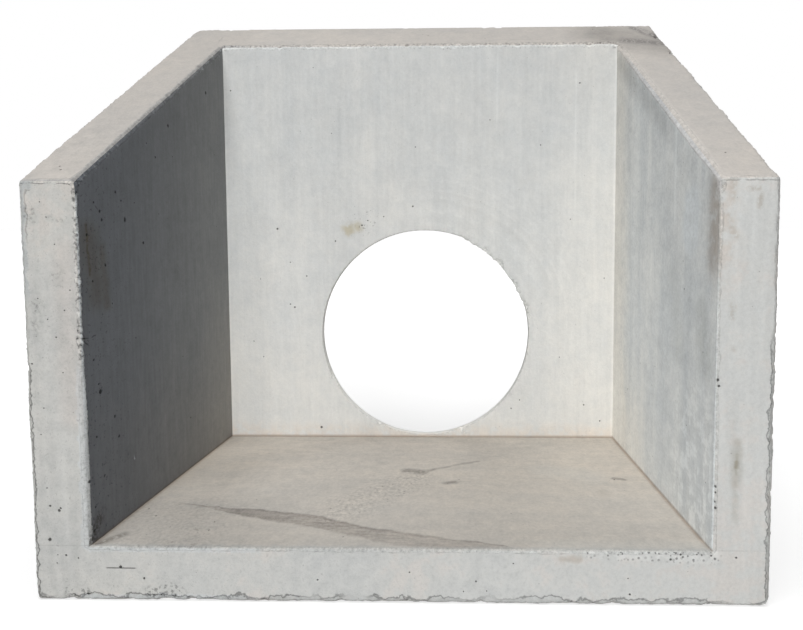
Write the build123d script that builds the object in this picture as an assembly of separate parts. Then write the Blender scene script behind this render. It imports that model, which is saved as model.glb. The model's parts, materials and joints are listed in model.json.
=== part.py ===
"""Precast concrete culvert headwall: a base slab, two splayed wing walls and a bored headwall, cast in one piece.

The frame has +Z up and its origin on the resting face, in the middle of the base.
The open mouth faces -Y and the pipe comes in through the headwall from +Y.
"""

import math
import os

from build123d import *

# Driving dimensions, in millimetres.
MOUTH_INNER_WIDTH = 1050.0  # clear width between the wing walls at the mouth
THROAT_INNER_WIDTH = 970.0  # clear width between the wing walls at the headwall
MOUTH_OUTER_WIDTH = 1250.0  # over the wing walls at the mouth
REAR_OUTER_WIDTH = 1200.0  # over the back of the headwall
APRON_LENGTH = 540.0  # floor from the mouth to the headwall
HEADWALL_THICKNESS = 120.0
BASE_THICKNESS = 95.0
WING_TIP_HEIGHT = 620.0  # wing wall above the floor at the mouth
RIM_RUN_PER_RISE = 1.5  # the rim follows an embankment of 1 in 1.5

PIPE_BORE_DIAMETER = 520.0
INVERT_ABOVE_FLOOR = 5.0
BORE_OFFSET = 12.0  # the bore former stands this far from the middle, towards +X
BORE_LAND = 20.0  # straight part of the bore, next to the apron
BORE_FLARE = 40.0  # the bore's radius grows by this much from there to the back, as room for mortar

OUTER_ARRIS_CHAMFER = 10.0  # chamfer strip of the mould along the outer arrises
RIM_ARRIS_RADIUS = 7.0  # trowelled edge along the inside of the rim
FLOOR_LIP_RADIUS = 6.0  # rounded lip at the front of the floor
BORE_ARRIS_CHAMFER = 4.0  # edge of the bore former, on the pipe side

# Worked-out places.
OVERALL_LENGTH = APRON_LENGTH + HEADWALL_THICKNESS
MOUTH_Y = -OVERALL_LENGTH / 2
REAR_Y = OVERALL_LENGTH / 2
HEADWALL_Y = MOUTH_Y + APRON_LENGTH
FLOOR_Z = BASE_THICKNESS
TIP_Z = FLOOR_Z + WING_TIP_HEIGHT
REAR_TOP_Z = TIP_Z + OVERALL_LENGTH / RIM_RUN_PER_RISE
BORE_RADIUS = PIPE_BORE_DIAMETER / 2
BORE_AXIS_Z = FLOOR_Z + INVERT_ABOVE_FLOOR + BORE_RADIUS
OVERCUT = 50.0  # how far a cutting body runs past the face that it opens


def rim_z(y):
    """Height of the inclined rim at a distance along the headwall."""
    return TIP_Z + (y - MOUTH_Y) / RIM_RUN_PER_RISE


def plan_prism(front_width, back_width, front_y, back_y, low_z, high_z):
    """Upright prism on a trapezium that is symmetrical about the YZ plane."""
    corners = [
        (-front_width / 2, front_y),
        (front_width / 2, front_y),
        (back_width / 2, back_y),
        (-back_width / 2, back_y),
    ]
    outline = Plane.XY.offset(low_z) * make_face(Polyline(*corners, close=True))
    return extrude(outline, high_z - low_z)


def outer_block():
    """The mould's outer shape, cut off along the inclined rim."""
    side = [
        (MOUTH_Y, 0),
        (REAR_Y, 0),
        (REAR_Y, REAR_TOP_Z),
        (MOUTH_Y, TIP_Z),
    ]
    profile = make_face(Polyline(*[(0, y, z) for y, z in side], close=True))
    slab = extrude(profile, MOUTH_OUTER_WIDTH, both=True)
    plan = plan_prism(MOUTH_OUTER_WIDTH, REAR_OUTER_WIDTH, MOUTH_Y, REAR_Y, 0, REAR_TOP_Z)
    return plan & slab


def apron_core():
    """The space between the wing walls, run out past the mouth and above the rim."""
    splay = (MOUTH_INNER_WIDTH - THROAT_INNER_WIDTH) / APRON_LENGTH
    front_width = MOUTH_INNER_WIDTH + splay * OVERCUT
    return plan_prism(
        front_width,
        THROAT_INNER_WIDTH,
        MOUTH_Y - OVERCUT,
        HEADWALL_Y,
        FLOOR_Z,
        REAR_TOP_Z + OVERCUT,
    )


def bore_core():
    """The round former that leaves the pipe bore: straight beside the apron, then opening out to the back."""
    flare = BORE_FLARE / (HEADWALL_THICKNESS - BORE_LAND)
    half_profile = [
        (0, HEADWALL_Y - OVERCUT),
        (BORE_RADIUS, HEADWALL_Y - OVERCUT),
        (BORE_RADIUS, HEADWALL_Y + BORE_LAND),
        (BORE_RADIUS + BORE_FLARE + flare * OVERCUT, REAR_Y + OVERCUT),
        (0, REAR_Y + OVERCUT),
    ]
    points = [(BORE_OFFSET + radius, y, BORE_AXIS_Z) for radius, y in half_profile]
    axis = Axis((BORE_OFFSET, 0, BORE_AXIS_Z), (0, 1, 0))
    return revolve(make_face(Polyline(*points, close=True)), axis)


def along_rim(edge):
    """True for a straight edge that lies in the inclined rim."""
    middle = edge.position_at(0.5)
    return abs(middle.Z - rim_z(middle.Y)) < 0.01


def is_outer_arris(edge):
    """True for the outer edges that the mould chamfers: the upright corners and the outside of the rim."""
    middle = edge.position_at(0.5)
    half_width = MOUTH_OUTER_WIDTH / 2 + (middle.Y - MOUTH_Y) * (
        REAR_OUTER_WIDTH - MOUTH_OUTER_WIDTH
    ) / (2 * OVERALL_LENGTH)
    on_side = abs(abs(middle.X) - half_width) < 0.01
    at_rear_top = abs(middle.Y - REAR_Y) < 0.01 and abs(middle.Z - REAR_TOP_Z) < 0.01
    return (on_side and middle.Z > 0.01) or at_rear_top


def is_rim_inner_arris(edge):
    """True for the edge between the rim and the faces inside it."""
    middle = edge.position_at(0.5)
    inside = abs(middle.X) < MOUTH_INNER_WIDTH / 2 - 0.01 and middle.Y < HEADWALL_Y + 0.01
    return along_rim(edge) and inside and middle.Y > MOUTH_Y + 0.01


def is_floor_lip(edge):
    """True for the front edge of the floor."""
    middle = edge.position_at(0.5)
    return abs(middle.Y - MOUTH_Y) < 0.01 and abs(middle.Z - FLOOR_Z) < 0.01 and abs(middle.X) < 1.0


def is_rear_bore_rim(edge):
    """True for the round edge of the bore on the pipe side."""
    return edge.geom_type == GeomType.CIRCLE and abs(edge.center().Y - REAR_Y) < 0.01


def headwall_casting():
    """The whole precast unit."""
    body = outer_block() - apron_core() - bore_core()
    body = body.solid() if not isinstance(body, Solid) else body
    body = chamfer(body.edges().filter_by(is_outer_arris), OUTER_ARRIS_CHAMFER)
    body = fillet(body.edges().filter_by(is_rim_inner_arris), RIM_ARRIS_RADIUS)
    body = fillet(body.edges().filter_by(is_floor_lip), FLOOR_LIP_RADIUS)
    return chamfer(body.edges().filter_by(is_rear_bore_rim), BORE_ARRIS_CHAMFER)


def main():
    os.makedirs("parts", exist_ok=True)
    casting = headwall_casting()
    slope = math.degrees(math.atan(1 / RIM_RUN_PER_RISE))
    print(f"rim slope {slope:.1f} degrees, volume {casting.volume / 1e9:.4f} m3")
    export_step(casting, "parts/headwall_casting.step")


main()
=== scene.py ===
# %% [markdown]
# # A precast concrete culvert headwall
#
# The real thing is one block of concrete, cast in a steel mould and lifted out the next day: a floor slab,
# two splayed wing walls and a headwall with a round opening for a pipe. What makes it look real isn't its
# form, which is simple, but what the mould and the lifting left behind: ragged arrises, air holes, streaks
# of release oil and a floor that was finished with a trowel.
#
# The CAD model brings the exact form and size. This script casts the same form again with a mesh that is
# fine enough to chip, wears it, and gives it a concrete that changes from face to face.

import json
import math
import random

import bmesh
import bpy
from mathutils import Matrix, Vector, kdtree, noise


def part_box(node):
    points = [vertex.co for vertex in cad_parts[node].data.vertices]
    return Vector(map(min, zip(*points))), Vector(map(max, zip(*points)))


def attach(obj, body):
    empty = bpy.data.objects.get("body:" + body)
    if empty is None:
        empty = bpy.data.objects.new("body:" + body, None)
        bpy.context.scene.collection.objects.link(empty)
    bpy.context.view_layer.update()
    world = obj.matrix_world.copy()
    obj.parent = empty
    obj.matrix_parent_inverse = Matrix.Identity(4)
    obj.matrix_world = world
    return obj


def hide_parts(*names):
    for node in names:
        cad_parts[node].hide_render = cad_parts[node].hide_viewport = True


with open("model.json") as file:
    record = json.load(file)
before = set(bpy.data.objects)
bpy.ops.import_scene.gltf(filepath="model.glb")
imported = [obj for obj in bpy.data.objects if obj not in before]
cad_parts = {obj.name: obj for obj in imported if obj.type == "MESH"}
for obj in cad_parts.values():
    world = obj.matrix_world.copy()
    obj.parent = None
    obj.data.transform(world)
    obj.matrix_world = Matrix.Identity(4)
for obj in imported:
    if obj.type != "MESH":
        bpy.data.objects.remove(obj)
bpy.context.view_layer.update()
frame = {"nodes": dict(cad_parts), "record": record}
casting = frame["nodes"]["headwall_casting"]
low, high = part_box("headwall_casting")
print("overall size", [round(side, 3) for side in high - low])

# %% [markdown]
# ## Reading the form off the CAD solid
#
# The walls, the floor and the sloping rim could be typed in again, but then they would drift apart from the
# CAD model as soon as someone changed it. A ray that is shot at the solid gives back the place where it
# lands, so a dozen rays measure everything that the new mesh needs. Two rays give the line of a splayed
# face, and the record's mount gives the pipe opening.

# %% Measure the casting with rays
OVERCUT = 0.2


def hit(start, direction):
    """Where a ray first meets the CAD casting."""
    found, place, normal, face = casting.ray_cast(Vector(start), Vector(direction))
    return place


def line_through(first, second):
    """The straight line through two (station, value) pairs, as a function of the station."""
    slope = (second[1] - first[1]) / (second[0] - first[0])
    return lambda station: first[1] + slope * (station - first[0])


length = high.y - low.y
stations = (low.y + 0.2 * length, low.y + 0.7 * length)
mid_height = 0.4 * high.z
floor_z = hit((0, stations[0], mid_height), (0, 0, -1)).z
throat_y = hit((0, stations[0], 0.8 * high.z), (0, 1, 0)).y
inner_x = line_through(*((y, hit((0, y, mid_height), (1, 0, 0)).x) for y in stations))
outer_x = line_through(*((y, hit((high.x + OVERCUT, y, mid_height), (-1, 0, 0)).x) for y in stations))
wall_middle = {y: (inner_x(y) + outer_x(y)) / 2 for y in stations}
rim_z = line_through(*((y, hit((wall_middle[y], y, high.z + OVERCUT), (0, 0, -1)).z) for y in stations))
bore = next(mount for mount in frame["record"]["mounts"] if mount["name"] == "pipe_bore")
bore_x, bore_z = bore["pos_m"][0], bore["pos_m"][2]
bore_radius = bore["dims"]["r_mm"] / 1000
stations = (throat_y + 0.5 * (high.y - throat_y), throat_y + 0.8 * (high.y - throat_y))
flare = line_through(*((y, hit((bore_x, y, bore_z), (0, 0, 1)).z - bore_z) for y in stations))
flare_slope = flare(1) - flare(0)
land_y = stations[0] - (flare(stations[0]) - bore_radius) / flare_slope
print("floor", round(floor_z, 4), "headwall at", round(throat_y, 4), "bore radius", bore_radius)
print("clear width", round(2 * inner_x(low.y), 4), "at the mouth,", round(2 * inner_x(throat_y), 4), "inside")
print("rim", round(rim_z(low.y), 4), "at the tips,", round(rim_z(high.y), 4), "at the back")
print("the bore is straight to", round(land_y, 4), "and opens out to radius", round(flare(high.y), 4))

# %% [markdown]
# ## Casting the sharp-edged form
#
# A mould is built up from a plan, and so is this mesh: eight points and four faces give the plan of the two
# wings, the headwall and the floor. One extrusion takes the plan down to the foot. A second one takes the
# three walls up, and their top is then laid into the plane of the rim. Every edge is dead sharp for now,
# because the wear comes later and cuts each arris back by its own amount. Mesh tools hand back what they
# made in an order that depends on the computer's memory, so the faces are built anew in an order of their
# own, and the same casting comes out each time.

# %% Extrude the plan
def corner_pair(x, y):
    """Two points of the plan at floor level, left and right."""
    return [body.verts.new((side * x, y, floor_z)) for side in (-1, 1)]


def settled(shape):
    """The same faces built anew, in an order that depends on nothing but their places."""
    rings = []
    for face in shape.faces:
        ring = [tuple(vert.co) for vert in face.verts]
        start = ring.index(min(ring))
        rings.append((ring[start:] + ring[:start], face.material_index))
    made = bmesh.new()
    verts = {place: made.verts.new(place) for place in sorted({tuple(vert.co) for vert in shape.verts})}
    for ring, number in sorted(rings):
        made.faces.new([verts[place] for place in ring]).material_index = number
    made.normal_update()
    shape.free()
    return made


body = bmesh.new()
mouth_outer = corner_pair(outer_x(low.y), low.y)
mouth_inner = corner_pair(inner_x(low.y), low.y)
throat = corner_pair(inner_x(throat_y), throat_y)
rear = corner_pair(outer_x(high.y), high.y)
walls = [
    body.faces.new((mouth_outer[0], mouth_inner[0], throat[0], rear[0])),
    body.faces.new((mouth_inner[1], mouth_outer[1], rear[1], throat[1])),
    body.faces.new((throat[0], throat[1], rear[1], rear[0])),
]
floor_face = body.faces.new((mouth_inner[0], mouth_inner[1], throat[1], throat[0]))
foot = bmesh.ops.extrude_face_region(body, geom=walls + [floor_face], use_keep_orig=True)["geom"]
bmesh.ops.translate(
    body, vec=(0, 0, -floor_z), verts=[part for part in foot if isinstance(part, bmesh.types.BMVert)]
)
top = bmesh.ops.extrude_face_region(body, geom=walls)["geom"]
for vert in (part for part in top if isinstance(part, bmesh.types.BMVert)):
    vert.co.z = rim_z(vert.co.y)
bmesh.ops.delete(body, geom=[face for face in walls if face.is_valid], context="FACES")
bmesh.ops.recalc_face_normals(body, faces=body.faces)
body = settled(body)
print("sharp form:", len(body.verts), "vertices,", len(body.faces), "faces")

# %% [markdown]
# ## Coring out the pipe opening
#
# In the mould, a steel drum between the two faces of the headwall keeps the concrete out. It is straight
# for a finger's width at the front and opens out behind that, so only the edge of the opening shows from the
# front. Here the face on each side is taken away and filled again around a circle, which triangle_fill does
# from edges alone, holes included. bridge_loops then runs the wall of the bore over a third circle between.

# %% Fill the headwall around two circles and bridge them
BORE_SEGMENTS = 144
SAME_PLACE = 1e-5


def bore_circle(y, radius):
    """A ring of edges round the bore's axis."""
    place = Matrix.Translation((bore_x, y, bore_z)) @ Matrix.Rotation(math.radians(90), 4, "X")
    circle = bmesh.ops.create_circle(body, radius=radius, segments=BORE_SEGMENTS, matrix=place)["verts"]
    return [edge for edge in body.edges if edge.verts[0] in circle]


def open_panel(y, radius):
    """Takes away the upright faces at this station and fills them in again around a circle."""
    upright = [face for face in body.faces if all(abs(vert.co.y - y) < SAME_PLACE for vert in face.verts)]
    bmesh.ops.delete(body, geom=upright, context="FACES")
    outline = [edge for edge in body.edges if edge.is_boundary and abs(edge.verts[0].co.y - y) < SAME_PLACE]
    circle_edges = bore_circle(y, radius)
    bmesh.ops.triangle_fill(body, edges=outline + circle_edges, use_beauty=True, normal=(0, 1, 0))
    return circle_edges


front_circle, back_circle = open_panel(throat_y, bore_radius), open_panel(high.y, flare(high.y))
land_circle = bore_circle(land_y, bore_radius)
bmesh.ops.bridge_loops(body, edges=front_circle + land_circle)
bmesh.ops.bridge_loops(body, edges=land_circle + back_circle)
bmesh.ops.recalc_face_normals(body, faces=body.faces)
body = settled(body)
open_edges = [edge for edge in body.edges if not edge.is_manifold]
print("cored form: volume", round(body.calc_volume(), 4), "open edges", len(open_edges))

# %% [markdown]
# ## Remembering which face is which
#
# Each face of a precast block has its own history: the floor is trowelled, the inside of the wings lay
# against oiled steel, the rim was struck off by hand. So each surface gets a material of its own. While the
# form still has a few large faces, each one is told its surface, and every small face that is later cut from
# it keeps the number.

# %% Mark the surfaces
SURFACES = ("outside", "front", "headwall", "left_wing", "right_wing", "floor", "rim")


def surface_of(face):
    """The name of the surface that this face belongs to."""
    normal, middle = face.normal, face.calc_center_median()
    if normal.z > 0.9 and middle.z < 2 * floor_z and middle.y < throat_y:
        return "floor"
    if normal.z > 0.5 and middle.z > rim_z(low.y):
        return "rim"
    in_bore = math.hypot(middle.x - bore_x, middle.z - bore_z) < flare(high.y)
    if in_bore and throat_y < middle.y < high.y - SAME_PLACE:
        return "headwall"
    if normal.y < -0.9:
        return "front" if middle.y < low.y + SAME_PLACE else "headwall"
    if abs(normal.x) > 0.9 and normal.x * middle.x < 0 and low.y < middle.y < throat_y:
        return "left_wing" if middle.x < 0 else "right_wing"
    return "outside"


for face in body.faces:
    face.material_index = SURFACES.index(surface_of(face))
for number, name in enumerate(SURFACES):
    area = sum(face.calc_area() for face in body.faces if face.material_index == number)
    print(name, round(area, 3), "square metres")


# %% [markdown]
# ## Naming the arrises
#
# An arris is the edge where two faces of concrete meet, and it is where a casting shows its age. Each one
# gets a name, its two ends and the outward directions of its two faces, so that the wear can ask of any
# vertex how deep it lies behind each face. Where an arris runs into an inner corner, as the headwall's does
# at both wings, its cut has to fade out round that end instead of running on into the wall.

# %% Describe an arris
MM = 0.001


class Arris:
    """A straight edge of the casting: how far it is cut back, how ragged it is, how fine its mesh is."""

    def __init__(self, name, ends, faces, cut, rough, cell, roundness=1.0, stops=(False, False)):
        self.name, self.rough, self.roundness, self.stops = name, rough, roundness, stops
        self.start, self.end = (Vector(end) for end in ends)
        self.first, self.second = (Vector(face).normalized() for face in faces)
        self.cut, self.cell = cut * MM, cell * MM
        self.chips, self.rounded = [], []

    def at(self, share):
        """The place at this share of the way along."""
        return self.start.lerp(self.end, share)

    def points(self, spacing):
        """Places along the arris, about this far apart."""
        count = max(2, math.ceil((self.end - self.start).length / spacing))
        return [self.at(step / count) for step in range(count + 1)]

    def section(self, place):
        """The nearest place on the arris, the two faces there, and how far this is past a stopped end."""
        along = self.end - self.start
        share = (place - self.start).dot(along) / along.length_squared
        past = max(-share if self.stops[0] else 0, share - 1 if self.stops[1] else 0, 0) * along.length
        return self.at(min(1.0, max(0.0, share))), self.first, self.second, past


class BoreRim(Arris):
    """The round edge of the pipe opening in one face of the headwall; its wall may widen towards the back."""

    def __init__(self, name, y, radius, widening, outward, cut, rough, cell):
        middle = (bore_x, y, bore_z)
        super().__init__(name, (middle, middle), (outward, UP), cut, rough, cell)
        self.radius = radius
        self.widening = Vector((0, widening, 0))

    def at(self, share):
        turn = math.tau * share
        return self.start + self.radius * Vector((math.cos(turn), 0, math.sin(turn)))

    def points(self, spacing):
        count = math.ceil(math.tau * self.radius / spacing)
        return [self.at(step / count) for step in range(count)]

    def section(self, place):
        spoke = place - self.start
        spoke.y = 0
        spoke.normalize()
        return self.start + self.radius * spoke, self.first, (self.widening - spoke).normalized(), 0.0


# %% [markdown]
# ## Listing the arrises
#
# The outer arrises had a chamfer strip in the mould and are about 10 mm wide. The inner ones were only
# rubbed down, so they are narrow, rounder and more ragged. The arrises of the front get the finest mesh,
# those of the foot at the back the coarsest.

# %% Seven corners on each side, twenty-one arrises
FORWARD, BACKWARD, DOWN, UP = Vector((0, -1, 0)), Vector((0, 1, 0)), Vector((0, 0, -1)), Vector((0, 0, 1))
rim_up = Vector((0, rim_z(0) - rim_z(1), 1)).normalized()
inward, outward, corner = {}, {}, {}
for side in (-1, 1):
    inward[side] = Vector((-side, inner_x(1) - inner_x(0), 0)).normalized()
    outward[side] = Vector((side, outer_x(0) - outer_x(1), 0)).normalized()
    corner[side] = {
        name: Vector((side * x, y, z))
        for name, x, y, z in (
            ("foot", outer_x(low.y), low.y, 0), ("tip", outer_x(low.y), low.y, rim_z(low.y)),
            ("sill", inner_x(low.y), low.y, floor_z), ("inner_tip", inner_x(low.y), low.y, rim_z(low.y)),
            ("throat", inner_x(throat_y), throat_y, rim_z(throat_y)),
            ("rear_foot", outer_x(high.y), high.y, 0), ("rear_top", outer_x(high.y), high.y, rim_z(high.y)),
        )
    }


def across(name):
    """The same corner on the left and on the right."""
    return corner[-1][name], corner[1][name]


arrises = [
    Arris("foot_front", across("foot"), (FORWARD, DOWN), 5.5, 0.5, 2.8),
    Arris("floor_lip", across("sill"), (FORWARD, UP), 5, 0.4, 2.8, 1.6, (True, True)),
    Arris("headwall_top", across("throat"), (FORWARD, rim_up), 7, 0.6, 3.2, 1.2, (True, True)),
    Arris("rear_top", across("rear_top"), (BACKWARD, rim_up), 9, 0.35, 4.5),
    Arris("rear_foot", across("rear_foot"), (BACKWARD, DOWN), 4, 0.5, 8),
    BoreRim("bore_front", throat_y, bore_radius, 0, FORWARD, 1.6, 0.5, 3),
    BoreRim("bore_rear", high.y, flare(high.y), flare_slope, BACKWARD, 4, 0.4, 6),
]
for side, word in ((-1, "left"), (1, "right")):
    near, far = inward[side], outward[side]
    arrises += [
        Arris(word + name, (corner[side][start], corner[side][end]), *sizes)
        for name, start, end, *sizes in (
            ("_mouth_outer", "foot", "tip", (FORWARD, far), 9.5, 0.3, 2.8),
            ("_mouth_inner", "sill", "inner_tip", (FORWARD, near), 4.2, 0.75, 2.6, 1.6, (True, False)),
            ("_tip", "tip", "inner_tip", (FORWARD, rim_up), 3.5, 0.4, 2.8, 1.4),
            ("_rim_inner", "inner_tip", "throat", (near, rim_up), 9, 0.35, 3.2, 1.2, (False, True)),
            ("_rim_outer", "tip", "rear_top", (far, rim_up), 9, 0.55, 3.5),
            ("_rear_corner", "rear_foot", "rear_top", (BACKWARD, far), 9, 0.3, 5.5),
            ("_foot", "foot", "rear_foot", (far, DOWN), 4, 0.5, 6),
        )
    ]
by_name = {arris.name: arris for arris in arrises}
print(len(arrises), "arrises:", ", ".join(sorted(by_name)))

# %% [markdown]
# ## Chips
#
# Chains, forks and the neighbours on the lorry knock pieces out of an arris. The large ones are listed one by
# one, where this casting has them: each has a share of the way along its arris, half a length and a depth,
# in mm. Small ones are strewn at random, more of them where the concrete was left ragged. The random numbers
# have a seed, so the same casting comes out each time. Three stretches are rubbed rounder and smoother.

# %% Knock chips out of the arrises
dice = random.Random(11)


def worn_place(name, share, half_length, depth):
    """The middle, half the length and the depth of a worn place, at a share of the way along an arris."""
    return by_name[name].at(share), half_length * MM, depth * MM


def strew_chips(name, count, size, first=0.0, last=1.0):
    """Strews small chips over a stretch of an arris."""
    for each in range(count):
        half_length = size * dice.uniform(0.6, 1.6)
        share, depth = dice.uniform(first, last), dice.uniform(0.45, 0.8) * half_length
        by_name[name].chips.append(worn_place(name, share, half_length, depth))


CHIPS = {
    "foot_front": (
        (0.05, 14, 8), (0.185, 24, 9.5), (0.13, 10, 7), (0.71, 22, 7.5), (0.79, 22, 8), (0.92, 18, 7),
    ),
    "left_foot": ((0, 60, 15),),
    "right_foot": ((0, 60, 15),),
    "left_mouth_inner": ((0.02, 13, 8), (0.57, 14, 7), (0.73, 10, 6), (0.855, 9, 6), (0.9, 7, 5)),
    "right_mouth_inner": ((0.98, 16, 9), (0.6, 9, 5), (0.4, 8, 6), (0.36, 7, 5)),
    "right_mouth_outer": ((0.57, 14, 12), (0.33, 12, 13), (0.27, 12, 14), (0.45, 90, 11)),
    "left_mouth_outer": ((0.56, 12, 12), (0.9, 12, 11)),
    "right_rim_outer": (
        (0.87, 20, 23), (0.93, 12, 14), (0.73, 17, 20), (0.68, 12, 11), (0.2, 14, 10), (0.47, 20, 10),
    ),
    "right_tip": ((0, 9, 8), (1, 9, 8)),
    "left_tip": ((0, 8, 7), (1, 14, 9)),
    "left_rim_outer": ((1, 34, 17),),
    "rear_top": ((0, 34, 17),),
    "left_rim_inner": ((0, 18, 13), (0.55, 12, 13), (0.3, 9, 12), (0.8, 10, 13)),
    "headwall_top": (
        (0.147, 10, 11), (0.47, 8, 9), (0, 10, 10), (1, 12, 10), (0.3, 30, 8.5), (0.08, 7, 10),
        (0.22, 9, 11), (0.38, 6, 10), (0.56, 12, 11), (0.64, 7, 10), (0.75, 11, 11), (0.86, 8, 10),
        (0.93, 10, 11),
    ),
    "right_rim_inner": ((0.97, 14, 13),),
    "bore_front": (
        (0.19, 14, 5), (0.12, 18, 6), (0.045, 16, 9), (0.03, 10, 10), (0.08, 20, 5), (0.57, 7, 6),
        (0.674, 8, 5), (0.807, 12, 5), (0.15, 9, 7),
    ),
}
STREWN = (
    ("left_mouth_inner", 46, 4.5), ("right_mouth_inner", 22, 4), ("headwall_top", 26, 6),
    ("left_rim_inner", 12, 7), ("right_rim_inner", 8, 6), ("bore_front", 16, 4.5), ("foot_front", 26, 8),
    ("left_mouth_outer", 10, 9), ("right_mouth_outer", 14, 9), ("floor_lip", 22, 5), ("left_tip", 5, 5),
    ("right_tip", 5, 5), ("left_rim_outer", 10, 9), ("right_rim_outer", 14, 9), ("rear_top", 24, 12),
    ("left_rear_corner", 10, 12), ("right_rear_corner", 10, 12), ("bore_rear", 20, 9), ("rear_foot", 10, 14),
    ("left_foot", 8, 14), ("right_foot", 8, 14), ("floor_lip", 26, 5, 0.78, 1.0),
    ("bore_front", 16, 5, 0.02, 0.2),
)
ROUNDED = (
    ("left_mouth_inner", 0.1, 260, 8), ("right_mouth_inner", 0.15, 200, 6), ("right_rim_inner", 0.5, 340, 11),
)
for name, rows in CHIPS.items():
    by_name[name].chips.extend(worn_place(name, *row) for row in rows)
for row in STREWN:
    strew_chips(*row)
for row in ROUNDED:
    by_name[row[0]].rounded.append(worn_place(*row))
print(sum(len(arris.chips) for arris in arrises), "chips")

# %% [markdown]
# ## Air holes
#
# Against an oiled steel mould, air bubbles stay on the face and leave round holes of a few millimetres.
# A hole that is only painted on has no rim and no shadow, so each one is a real dent in a mesh that is fine
# enough for it. It is named by two coordinates on its surface and its radius, in mm, and the surface gives
# the third coordinate.

# %% Place the air holes
SPOTS = {
    "front": lambda x, z: ((x, low.y, z), FORWARD),
    "headwall": lambda x, z: ((x, throat_y, z), FORWARD),
    "left_wing": lambda y, z: ((-inner_x(y), y, z), inward[-1]),
    "right_wing": lambda y, z: ((inner_x(y), y, z), inward[1]),
    "floor": lambda x, y: ((x, y, floor_z), UP),
    "rim": lambda x, y: ((x, y, rim_z(y)), rim_up),
    "left_side": lambda y, z: ((-outer_x(y), y, z), outward[-1]),
    "right_side": lambda y, z: ((outer_x(y), y, z), outward[1]),
    "back": lambda x, z: ((x, high.y, z), BACKWARD),
}
air_holes = []


def metres(spot):
    """The coordinates of a spot that is given in mm."""
    return [value / 1000 for value in spot]


def spot_on(surface, first, second):
    """The place of a spot on a surface, and the way that the surface faces there."""
    place, normal = SPOTS[surface](first, second)
    return Vector(place), normal


def air_hole(spot, radius):
    """Adds a hole with this radius, in mm, at a spot on a surface."""
    air_holes.append((*spot, radius * MM))


for surface, holes in (
    ("left_wing", (
        (120, 945, 3.6), (-45, 845, 3.4), (-95, 775, 2.4), (-225, 700, 2.8), (-210, 685, 2.2),
        (-270, 665, 2.7), (-265, 650, 2.9), (-200, 650, 4.2), (-145, 605, 2.8), (-305, 625, 2.8),
        (-260, 570, 2.8), (-285, 350, 4.2), (-290, 365, 2), (-300, 410, 2.2), (-322, 205, 2.8),
        (-250, 295, 2.8), (-240, 255, 2.4), (-285, 680, 2), (-300, 275, 2.2), (-310, 155, 2.3),
        (-315, 115, 2.8), (-295, 545, 2), (-245, 500, 1.7), (-180, 425, 1.6),
    )),
    ("right_wing", (
        (90, 965, 1.6), (180, 815, 1.5), (100, 250, 2), (115, 237, 1.6), (-280, 420, 1.4), (20, 330, 1.4),
        (-200, 520, 1.5), (-50, 300, 1.2), (-300, 200, 1.5),
    )),
    ("headwall", (
        (-358, 625, 2.4), (-468, 968, 2), (-17, 680, 2), (-255, 118, 3), (-329, 435, 1.7), (-318, 427, 2.1),
        (-286, 506, 1.8), (-212, 594, 1.8), (412, 178, 2), (453, 137, 1.8), (250, 190, 1.7),
        (229, 168, 1.7), (-145, 633, 2.2), (-130, 645, 1.7), (395, 980, 1.9), (300, 830, 1.5),
        (-400, 300, 1.5), (350, 300, 1.4), (-90, 655, 1.6), (460, 500, 1.5),
    )),
    ("front", (
        (-593, 107, 3), (-575, 158, 2.6), (-572, 162, 1.8), (-590, 166, 2), (-473, 60, 2.6),
        (-433, 40, 1.8), (-566, 80, 1.8), (-545, 75, 1.5), (-582, 66, 1.2), (565, 85, 2), (20, 55, 1.4),
        (132, 40, 1.6), (390, 20, 2), (-585, 680, 1.3), (-575, 655, 1.2), (-563, 610, 1.2),
        (-551, 500, 1.5), (-580, 485, 1.3), (-567, 455, 1.4), (-595, 520, 1.2), (-558, 395, 1.2),
        (-610, 410, 1.4), (527, 206, 2.4), (528, 196, 2), (527, 180, 1.8), (528, 170, 2.4), (528, 385, 2.6),
        (530, 375, 2.4),
    )),
    ("floor", (
        (-467, -218, 2), (-495, -190, 1.8), (-345, -270, 1.8), (-347, -240, 1.3), (-420, -260, 1.4),
        (-300, -150, 1.3), (100, -50, 1.3), (430, -45, 1.8), (200, -200, 1.1), (-100, -290, 1.2),
    )),
    ("rim", (
        (-575, -290, 2), (-567, -300, 1.8), (560, -260, 1.8), (600, 230, 5), (20, 270, 1.6),
    )),
):
    for *spot, radius in holes:
        air_hole(spot_on(surface, *metres(spot)), radius)
print(len(air_holes), "air holes placed by hand")

# %% [markdown]
# ## More air holes at random
#
# The outside and the back have air holes too, more of them near the top, because bubbles rise while the
# mould is vibrated. Nobody could list them all, so they are strewn over each surface. A spot that falls
# beside an edge or into the pipe opening is thrown again.

# %% Strew the rest
MARGIN = 0.02


def strew_holes(surface, count, first, second, smallest, largest):
    """Strews holes over a rectangle of a surface, the larger ones more seldom."""
    placed = 0
    while placed < count:
        a, b = dice.uniform(*first), dice.uniform(*second)
        radius = smallest + (largest - smallest) * dice.random() ** 3
        place, normal = spot_on(surface, a, b)
        too_high = abs(normal.z) < SAME_PLACE and place.z > rim_z(place.y) - MARGIN
        by_bore = surface != "rim" and place.y > throat_y - SAME_PLACE
        from_axis = math.hypot(place.x - bore_x, place.z - bore_z)
        if not too_high and not (by_bore and from_axis < flare(high.y) + MARGIN):
            air_hole((place, normal), radius)
            placed += 1


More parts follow.
